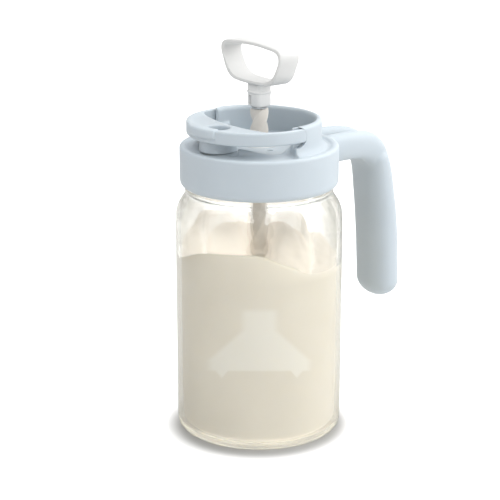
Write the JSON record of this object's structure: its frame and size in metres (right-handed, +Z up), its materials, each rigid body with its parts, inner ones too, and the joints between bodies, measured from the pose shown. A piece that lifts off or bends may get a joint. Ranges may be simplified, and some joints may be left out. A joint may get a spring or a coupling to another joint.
{
  "type": "butter churn",
  "caption": "Hand butter churn: glass jar, screw cap with jug handle and flip pouring visor, and a pull loop on a twisted rod that spins a whisk bell.",
  "frame": {"origin": "centre of the jar's flat base, on the surface it stands on", "axes": "+Z up along the jar and the rod, +X towards the jug handle, -X towards the pouring hole; +Y completes the right-handed frame"},
  "size_m": [0.1562, 0.099, 0.2344],
  "materials": {
    "jar_glass": "clear smooth soda-lime glass",
    "cap_plastic": "satin moulded polypropylene, light blue-grey",
    "loop_plastic": "satin moulded, off-white",
    "rod_plastic": "semi-gloss moulded acetal, warm beige-grey",
    "white_nylon": "natural moulded nylon",
    "bell_plastic": "satin moulded, white",
    "silicone": "soft matt silicone, translucent white",
    "pin_steel": "stainless steel, satin"
  },
  "bodies": {
    "jar": {"glass_jar": "jar_glass"},
    "seal": {"jar_seal_ring": "silicone"},
    "lid": {"screw_cap": "cap_plastic", "pour_crown": "cap_plastic", "jug_handle": "cap_plastic", "drive_nut": "white_nylon", "rod_wiper": "silicone", "nut_retainer": "white_nylon"},
    "visor": {"pour_visor": "cap_plastic", "spout_plug": "cap_plastic", "spout_seal": "silicone"},
    "plunger": {"pull_loop": "loop_plastic", "handle_socket": "loop_plastic", "swivel_pin_left": "pin_steel", "swivel_pin_right": "pin_steel", "swivel_washer": "pin_steel"},
    "rod": {"twisted_rod": "rod_plastic", "whisk_bell": "bell_plastic", "bell_washer": "pin_steel", "bell_nut": "white_nylon"}
  },
  "joints": [
    {"name": "lid_rise", "type": "slide", "parent": "jar", "child": "seal", "axis": [0, 0, 1], "range_m": [0, 0.0064]},
    {"name": "lid_turn", "type": "hinge", "parent": "seal", "child": "lid", "pos_m": [0, 0, 0.16], "axis": [0, 0, 1], "range_deg": [0, 450]},
    {"name": "plunger_slide", "type": "slide", "parent": "lid", "child": "plunger", "axis": [0, 0, 1], "range_m": [-0.02, 0.08]},
    {"name": "rod_spin", "type": "hinge", "parent": "plunger", "child": "rod", "pos_m": [0, 0, 0.2], "axis": [0, 0, 1], "range_deg": [-160, 630]},
    {"name": "visor_flip", "type": "hinge", "parent": "lid", "child": "visor", "pos_m": [-0.0024, 0, 0.1843], "axis": [0, 1, 0], "range_deg": [0, 45]}
  ],
  "couplings": [
    {"joint": "lid_rise", "follows": "lid_turn", "m_per_rad": 0.00080851},
    {"joint": "rod_spin", "follows": "plunger_slide", "rad_per_m": 136.59}
  ]
}
